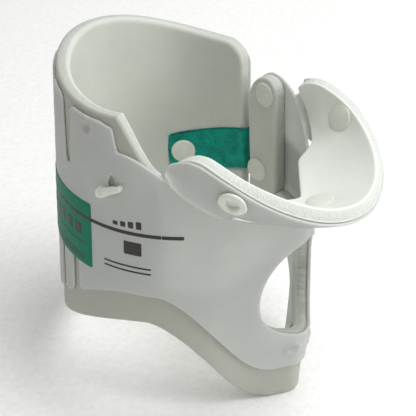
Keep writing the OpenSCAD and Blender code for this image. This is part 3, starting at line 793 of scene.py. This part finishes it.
def padPress(s, t):
    # the pad sinks round its rivets
    sink = 0 * s
    for u, v in [chin["front"]] + chin["sides"]:
        away = (s - u * chin["across"]) ** 2 + (t - v * chin["out"]) ** 2
        sink = sink + chin["sink"] * np.exp(-away / chin["sinkReach"] ** 2)
    return sink


def padPlace(s, t, depth):
    face = np.clip(1 - depth / neck["pad"], 0, 1)
    return chinAt(s / chin["across"], t / chin["out"], depth + face * padPress(s, t))


padRows = boxGrid((-chin["across"], chin["across"]), (0.2, chin["out"]), chin["cell"])
padGrid = cutGrid(padRows, chin["cell"], chinOutline)
padPiece = thickPiece("chin_foam", padGrid, padPlace, neck["pad"], 0.9, 0.5, [padSkin, padCut], 1)
give(padPiece, "chin", "foam", "chin_pad")
print("chin foam", len(padPiece.data.polygons))


def plateOutline(s, t):
    # the plate ends a little short of the pad;
    # its inner edge is the slit in the middle and the folds beside it
    f = roundMin(chin["out"] - 0.6 - t, chin["across"] - 0.4 - np.abs(s), 6.5)
    b = np.abs(chin["armAt"] * s / chin["across"])
    edge = 12.0 * (1 - smooth((b - chin["slitAt"]) / 7))
    return roundMin(f, t - edge, 0.6)


def platePlace(s, t, depth):
    # under the pad in the middle, out of the wall's own top edge at the folds;
    # towards an arm's end it runs straight from the fold to the rim, bowed a little outwards
    u, v = s / chin["across"], t / chin["out"]
    n = chinNormal(u * 0.985, v)
    under = chinAt(u, v, neck["pad"] + 0.05 + depth)
    b = neck["notchAt"] * 0.985 * u
    fold = wallPoint(b, frontTop(b) + 0.1, neck["sheet"] - depth)
    folded = smooth((np.abs(b) - chin["slitAt"] + 5) / 8)
    w = (1 - (1 - smooth(t / 9.5)) * folded)[..., None]
    bowl = fold * (1 - w) + under * w
    rim = chinAt(u, 0 * v + 0.98, neck["pad"] + 0.05 + depth)
    q = np.clip(v, 0, 1)[..., None]
    straight = fold * (1 - q) + rim * q - n * 1.9 * 4 * q * (1 - q)
    e = smooth((np.abs(u) - 0.62) / 0.26)[..., None]
    p = bowl * (1 - e) + straight * e
    # where it would cut into the pad, it is pushed out along the pad's normal
    above = ((p - under) * n).sum(axis=-1)
    push = 0.5 * (above + np.sqrt(above ** 2 + 0.09)) * smooth((t - 1) / 5)
    return p - n * push[..., None]


plateSide = chin["across"] - 0.4
plateRows = boxGrid((-plateSide, plateSide), (0, chin["out"] - 0.6), chin["cell"])
plateGrid = cutGrid(plateRows, chin["cell"], plateOutline)
platePiece = thickPiece("chin_sheet", plateGrid, platePlace, neck["sheet"], 0.3, 0.3, [plasticSheet])
# painted highlight along the sheet's fold and along a crease above it, on both sides of the slit
foldHighlight = np.exp(-(plateGrid[1] / 1.1) ** 2) + 0.5 * np.exp(-((plateGrid[1] - 7) / 0.8) ** 2)
foldHighlight = foldHighlight * (np.abs(plateGrid[0]) > 30)
foldHighlightValue = platePiece.data.attributes.new("fold", "FLOAT", "POINT")
foldHighlightValue.data.foreach_set("value", np.tile(foldHighlight, 2).astype(np.float32))
foldLine = wallPoint(np.array([-60.0, -32.0]), frontTop(np.array([-60.0, -32.0])), 0)
foldRun = foldLine[1] - foldLine[0]
foldUp = np.array([0, foldRun[2], -foldRun[1]])
foldUp = foldUp / np.linalg.norm(foldUp) * (1 if foldUp[2] > 0 else -1)
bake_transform(platePiece)
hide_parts("chin_plate")
print("chin sheet")

# ---------- strap ----------


def carried(name, path, across, width, thick, materials):
    # a flat band: a rounded cross-section carried along a path; across is the band's width direction
    path, across = np.asarray(path, float), np.asarray(across, float)
    run = np.gradient(path, axis=0)
    run = run / np.linalg.norm(run, axis=1, keepdims=True)
    face = np.cross(across, run)
    face = face / np.linalg.norm(face, axis=1, keepdims=True)
    r = thick / 2
    half = width / 2 - r
    turn = np.radians(np.linspace(-90, 90, 7))
    flat = np.linspace(-half, half, 22)[1:-1]
    ringA = np.concatenate([half + r * np.cos(turn), flat[::-1], -half - r * np.cos(turn), flat])
    ringN = np.concatenate([r * np.sin(turn), np.full(20, r), -r * np.sin(turn), np.full(20, -r)])
    n, k = len(path), len(ringA)
    station = np.arange(n)[:, None]
    fuzz = 0.07 * np.sin(station * 1.9 + ringA[None] * 2.3)
    fuzz = fuzz + 0.06 * np.sin(station * 0.83 - ringA[None] * 4.1)
    rise = ringN[None] + fuzz * np.sign(ringN)[None]
    points = path[:, None] + across[:, None] * ringA[None, :, None] + face[:, None] * rise[..., None]
    i, j = np.meshgrid(np.arange(n - 1), np.arange(k), indexing="ij")
    a, b = i * k + j, i * k + (j + 1) % k
    sides = np.stack([a, a + k, b + k, b], -1).reshape(-1, 4)
    m = np.arange(k // 2 - 1)
    caps = np.stack([m, m + 1, k - 2 - m, k - 1 - m], -1)
    faces = np.concatenate([sides, caps, caps[:, ::-1] + (n - 1) * k])
    return addMesh(name, points.reshape(-1, 3) * mm, faces, materials, sharpAt=60)


def strapPath():
    # inside the rear panel, out through the gap, then round outside the flap to the tip
    inner = np.linspace(strap["rootAt"], 93.5, 60)
    outer = np.linspace(87.0, strap["tipAt"], 80)
    q = np.linspace(0, 1, 22)[1:-1]
    bend = 93.5 + (87.0 - 93.5) * q
    b = np.concatenate([inner, bend, outer])
    inside, outside = strap["inside"] + strap["thick"] / 2, strap["outside"] + strap["thick"] / 2
    through = inside + (outside - inside) * smooth((q - 0.12) / 0.76)
    r = np.concatenate([np.full(60, inside), through, np.full(80, outside)])
    z = strap["height"] - strap["slope"] * np.maximum(b - strap["gapAt"], 0)
    # a slight waviness of the webbing
    r = r + 0.12 * np.sin(b / 4.3) + 0.1 * np.sin(b / 1.9 + 1)
    r = r * (1 - neck["flare"] * z)
    return b, np.stack([r * sinD(b), -r * cosD(b), z], -1)


pathB, pathP = strapPath()
tangent = np.gradient(pathP, axis=0)
tangent = tangent / np.linalg.norm(tangent, axis=1, keepdims=True)
straight = np.array([[0.0, 0.0, 1.0]]) - tangent * tangent[:, 2:3]
straight = straight / np.linalg.norm(straight, axis=1, keepdims=True)
seam = int(np.argmin(np.abs(pathB - strap["seamAt"])))
strapSize = (strap["width"], strap["thick"])
strapBack = carried("strap_back", pathP[:seam + 1], straight[:seam + 1], *strapSize, [strapLoop])
strapFront = carried("strap_front", pathP[seam:], straight[seam:], *strapSize, [strapLoop])
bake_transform(strapBack)
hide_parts("strap_root", "strap_tail")
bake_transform(strapFront)
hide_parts("strap_tip")


def wallBand(name, b0, b1, z0, z1, inset, thick, materials, corner=0.6, cell=0.8):
    # a thin rectangle laid on the wall; inset is minus outside the sheet
    def outline(s, t):
        f = roundMin(s - alongWall(b0), alongWall(b1) - s, 0.01)
        return roundMin(f, np.minimum(t - z0, z1 - t), corner)
    s = np.linspace(alongWall(b0), alongWall(b1), max(3, int((alongWall(b1) - alongWall(b0)) / cell) + 1))
    t = np.linspace(z0, z1, max(3, int((z1 - z0) / cell) + 1))
    grid = cutGrid(np.meshgrid(s, t, indexing="ij"), cell * 0.8, outline)
    return thickPiece(name, grid, onWall(inset), thick, min(0.2, thick * 0.4), 0, materials)


half = strap["width"] / 2
tapeZ = (strap["height"] - half + 1, strap["height"] + half - 1)
patchZ = (strap["height"] - half - 1, strap["height"] + half + 1)
hooksTail = wallBand("hook_tape_long", strap["foldAt"] + 1, 73, *tapeZ, -2.3, 0.7, [hookTape])
give(hooksTail, "strap", "hook_tape", "tail_hooks")
hooksTip = wallBand("hook_tape_tip", strap["tipAt"] + 6, strap["foldAt"] - 1, *tapeZ, -2.3, 0.7, [hookTape])
give(hooksTip, "strap_end", "hook_tape", "tip_hooks")
patch = wallBand("loop_patch_fabric", 40, 72, *patchZ, -1.1, 1.05, [strapLoop], 2.5)
give(patch, "front", "strap_loop", "loop_patch")
print("strap")

# ---------- rivets and studs ----------


def turnedPart(profile, place, axis, count=44):
    # a profile of (radius, height) pairs turned round an axis; its first and last radius are 0
    profile = np.asarray(profile, float)
    axis = np.asarray(axis, float) / np.linalg.norm(axis)
    side = np.cross(axis, [0.3, 0.2, 0.93])
    side = side / np.linalg.norm(side)
    other = np.cross(axis, side)
    turn = np.linspace(0, 2 * math.pi, count, endpoint=False)
    ring = side[None] * np.cos(turn)[:, None] + other[None] * np.sin(turn)[:, None]
    middle = profile[1:-1]
    body = (middle[:, 0, None, None] * ring[None] + middle[:, 1, None, None] * axis).reshape(-1, 3)
    ends = profile[[0, -1], 1, None] * axis
    points = np.concatenate([body, ends]) + np.asarray(place)
    rows = len(middle)
    i, j = np.meshgrid(np.arange(rows - 1), np.arange(count), indexing="ij")
    a, b = i * count + j, i * count + (j + 1) % count
    quads = np.stack([a, b, b + count, a + count], -1).reshape(-1, 4)
    j = np.arange(count)
    ahead = (j + 1) % count
    lastRow = (rows - 1) * count
    first = np.stack([np.full(count, rows * count), ahead, j], -1)
    last = np.stack([np.full(count, rows * count + 1), lastRow + j, lastRow + ahead], -1)
    return points, quads, first, last


def turnedPiece(name, parts, materials, sharpAt=48):
    # several turned parts in one mesh
    mesh = bpy.data.meshes.new(name)
    allPoints, allFaces, start = [], [], 0
    for profile, place, axis in parts:
        points, quads, first, last = turnedPart(profile, place, axis)
        allPoints.append(points)
        allFaces += (quads + start).tolist() + (first + start).tolist() + (last + start).tolist()
        start += len(points)
    mesh.from_pydata((np.concatenate(allPoints) * mm).tolist(), [], allFaces)
    for m in materials:
        mesh.materials.append(m)
    mesh.shade_smooth()
    mesh.set_sharp_from_angle(angle=math.radians(sharpAt))
    piece = bpy.data.objects.new(name, mesh)
    bpy.context.scene.collection.objects.link(piece)
    return piece


rivet = {"head": 5.3, "thick": 1.4, "shank": 2.2, "cap": 1.3, "stud": 3.0}


def headProfile(r, t, dome=0.35):
    # an underside, a round edge and a top that is slightly domed; height 0 is under the head
    turn = np.radians(np.linspace(-90, 80, 8))
    edge = np.stack([r - t / 2 + t / 2 * np.cos(turn), t / 2 + t / 2 * np.sin(turn)], -1)
    q = np.linspace(0.92, 0.12, 7)
    crown = np.stack([(r - t / 2) * q, t + dome * (1 - q ** 2)], -1)
    return np.concatenate([[[0, 0], [r * 0.5, 0]], edge, crown, [[0, t + dome]]])


def washerProfile(r, t, hole):
    # a ring with a dished middle: the closed end of the shank lies sunk inside it
    turn = np.radians(np.linspace(-90, 70, 8))
    edge = np.stack([r - t / 2 + t / 2 * np.cos(turn), t / 2 + t / 2 * np.sin(turn)], -1)
    inner = [[hole + 0.9, t * 1.02], [hole + 0.35, t * 0.86], [hole + 0.1, t * 0.45], [hole, t * 0.2],
             [hole * 0.8, t * 0.14], [hole * 0.4, t * 0.2]]
    return np.concatenate([[[0, 0], [r * 0.5, 0]], edge, inner, [[0, t * 0.22]]])


def shankProfile(r, length):
    return [[0, 0], [r, 0], [r, length * 0.5], [r, length], [0, length]]


def wallNormal(b):
    return np.array([sinD(b), -cosD(b), 0])


def wallAt(b, z, r):
    k = 1 - neck["flare"] * z
    return np.array([r * k * sinD(b), -r * k * cosD(b) + leanBack(b, z), z])


def throughWall(b, z, headAt):
    # head inside, washer outside, shank between; radii are measured from the neck axis
    capAt = shellR + 0.02
    n = wallNormal(b)
    parts = [(headProfile(rivet["head"], rivet["thick"]), wallAt(b, z, headAt), -n),
             (shankProfile(rivet["shank"], capAt - headAt), wallAt(b, z, headAt), n)]
    return parts, [(washerProfile(rivet["head"], rivet["cap"], rivet["shank"]), wallAt(b, z, capAt), n)]


flapHeads, flapCaps = [], []
for b, z in flapRivets:
    heads, caps = throughWall(b, z, neck["radius"] + 1.0)
    flapHeads += heads
    flapCaps += caps
give(turnedPiece("flap_rivet_heads", flapHeads, [rivetNylon]), "front", "rivet", "flap_rivets")
give(turnedPiece("flap_rivet_washers", flapCaps, [rivetNylon]), "front", "rivet", "flap_rivet_caps")
heads, caps = throughWall(strap["rivetAt"], strap["rivetHeight"], strap["inside"] + 0.05)
give(turnedPiece("strap_rivet_head", heads, [rivetNylon]), "rear", "rivet", "strap_rivet")
give(turnedPiece("strap_rivet_washer", caps, [rivetNylon]), "rear", "rivet", "strap_rivet_cap")


def chinRivet(place):
    u, v = np.array([place[0]]), np.array([place[1]])
    n = chinNormal(u * 0.985, v)[0]
    top = chinTop(u, v)[0]
    below = neck["pad"] + neck["sheet"]
    head = (headProfile(rivet["head"], rivet["thick"]), top - n * 1.15, n)
    shank = (shankProfile(rivet["shank"], below - 1.0), top - n * (below + 0.05), n)
    washer = (washerProfile(rivet["head"], rivet["cap"] + 0.4, rivet["shank"]), top - n * (below + 0.1), -n)
    return [head, shank], [washer]


frontHead, frontCap = chinRivet(chin["front"])
sideParts, capParts = [], list(frontCap)
for place in chin["sides"]:
    heads, caps = chinRivet(place)
    sideParts += heads
    capParts += caps
give(turnedPiece("chin_front_head", frontHead, [rivetNylon]), "chin", "rivet", "chin_front_rivet")
give(turnedPiece("chin_side_heads", sideParts, [rivetNylon]), "chin", "rivet", "chin_side_rivets")
give(turnedPiece("chin_washers", capParts, [rivetNylon]), "chin", "rivet", "chin_rivet_caps")
for side, node in [("front", "front_liner_studs"), ("rear", "rear_liner_stud")]:
    parts = []
    for b, z in studs[side]:
        r = float(wallRadius(np.array([b]), foamInset)[0])
        parts.append((headProfile(rivet["stud"], 1.0, 0.2), wallAt(b, z, r + 1.5), -wallNormal(b)))
    give(turnedPiece(f"{side}_studs", parts, [rivetNylon]), side, "stud", node)
print("rivets and studs")

# ---------- hook, label and print ----------

hook = {"at": -84.0, "height": 16.0}


def tube(path, radius, count=20):
    # a round bar of changing radius along a path, with closed ends
    path, radius = np.asarray(path, float), np.asarray(radius, float)
    run = np.gradient(path, axis=0)
    run = run / np.linalg.norm(run, axis=1, keepdims=True)
    side = np.cross(run, [[0.1, 0.2, 1.0]])
    side = side / np.linalg.norm(side, axis=1, keepdims=True)
    other = np.cross(run, side)
    turn = np.linspace(0, 2 * math.pi, count, endpoint=False)
    ring = side[:, None] * np.cos(turn)[None, :, None] + other[:, None] * np.sin(turn)[None, :, None]
    points = (path[:, None] + ring * radius[:, None, None]).reshape(-1, 3)
    n = len(path)
    i, j = np.meshgrid(np.arange(n - 1), np.arange(count), indexing="ij")
    a, b = i * count + j, i * count + (j + 1) % count
    sides = np.stack([a, b, b + count, a + count], -1).reshape(-1, 4).tolist()
    return points, sides + [list(range(count))[::-1], list(range((n - 1) * count, n * count))]


def capsule(p, q, r0, r1, steps=10):
    # path and radii of a bar with round ends from p to q
    p, q = np.asarray(p, float), np.asarray(q, float)
    run = (q - p) / np.linalg.norm(q - p)
    a = np.radians(np.linspace(-86, 0, steps))
    startPath = p + run * (r0 * np.sin(a))[:, None]
    endPath = q + run * (r1 * np.sin(-a[::-1]))[:, None]
    return np.concatenate([startPath, endPath]), np.concatenate([r0 * np.cos(a), r1 * np.cos(a[::-1])])


def hookPiece():
    def spot(across, up, stand):
        b = hook["at"] + math.degrees(across / shellR)
        return wallAt(b, hook["height"] + up, shellR + stand)
    # a foot fused to the wall, a tapering arm and a toe that meets the wall again
    bars = [capsule(spot(-3.5, -1.9, -0.4), spot(-3.5, -1.9, 0.9), 2.5, 2.1),
            capsule(spot(-3.0, -1.6, 0.9), spot(4.6, 1.9, 1.5), 1.75, 1.15),
            capsule(spot(4.5, 1.8, -0.4), spot(4.7, 2.1, 1.4), 1.0, 1.0)]
    points, faces, start = [], [], 0
    for path, radius in bars:
        p, f = tube(path, radius)
        points.append(p)
        faces += [[k + start for k in face] for face in f]
        start += len(p)
    mesh = bpy.data.meshes.new("hook_moulding")
    mesh.from_pydata((np.concatenate(points) * mm).tolist(), [], faces)
    mesh.materials.append(rivetNylon)
    mesh.shade_smooth()
    piece = bpy.data.objects.new("hook_moulding", mesh)
    bpy.context.scene.collection.objects.link(piece)
    return piece


give(hookPiece(), "rear", "hook", "cannula_hook")

labelArea = {"from": -146.0, "to": -95.0, "low": -21.0, "high": 6.6}
label = wallBand("size_label_film", labelArea["from"], labelArea["to"], labelArea["low"],
                 labelArea["high"], -0.25, 0.24, [labelFilm], 0.8)
give(label, "rear", "label", "size_label")


def joined(name, pieces):
    # puts several meshes with the same material into one
    points, faces, start = [], [], 0
    for p in pieces:
        co = np.empty(len(p.data.vertices) * 3)
        p.data.vertices.foreach_get("co", co)
        points.append(co.reshape(-1, 3))
        index = np.empty(len(p.data.loops), np.int32)
        p.data.loops.foreach_get("vertex_index", index)
        faces.append(index.reshape(-1, 4) + start)
        start += len(p.data.vertices)
        material = p.data.materials[0]
        bpy.data.objects.remove(p)
    return addMesh(name, np.concatenate(points), np.concatenate(faces), [material])


def printMarks(name, marks, inset):
    return joined(name, [wallBand("mark", *m, inset - 0.1, 0.1, [printInk], 0.25, 0.45) for m in marks])


lineHalf = 0.72     # half the height of the black line, mm
labelMarks = [(labelArea["from"], labelArea["to"], -lineHalf, lineHalf)]
labelMarks += [(-134 + 7 * i, -129.5 + 7 * i, -8.5, -4) for i in range(5)]
labelMarks += [(-134, -100, z, z + 0.6) for z in (-12, -17.4, -19)]
sideMarks = [(-83 + 3.6 * i, -80.6 + 3.6 * i, 2.2, 3.8 + 0.5 * i) for i in range(4)]
sideMarks += [(-88, -66, z, z + 0.7) for z in (-14.5, -16.6)]
sideMarks += [(-78, -70, -9, -3.5)]
lineBehind = (labelArea["to"], -neck["notchAt"] - 0.1, -lineHalf, lineHalf)
lineBefore = (-neck["notchAt"], -52, -lineHalf, lineHalf)
give(printMarks("label_marks", labelMarks, -0.25), "rear", "ink", "label_print")
give(printMarks("line_behind", [lineBehind], 0), "rear", "ink", "line_rear")
give(printMarks("line_before", [lineBefore], 0), "front", "ink", "line_front")
give(printMarks("side_marks", sideMarks, 0), "rear", "ink", "side_print")
print("hook, label and print")

# ---------- floor ----------

floorMaterial = mouldedMaterial("floor", finishes["floor"], 40, 0.0, 0)
floorZ = cadBox[0][2] - 0.0002
mesh = bpy.data.meshes.new("floor")
mesh.from_pydata([(-4, -4, floorZ), (4, -4, floorZ), (4, 4, floorZ), (-4, 4, floorZ)], [], [(0, 1, 2, 3)])
mesh.materials.append(floorMaterial)
floor = bpy.data.objects.new("floor", mesh)
bpy.context.scene.collection.objects.link(floor)
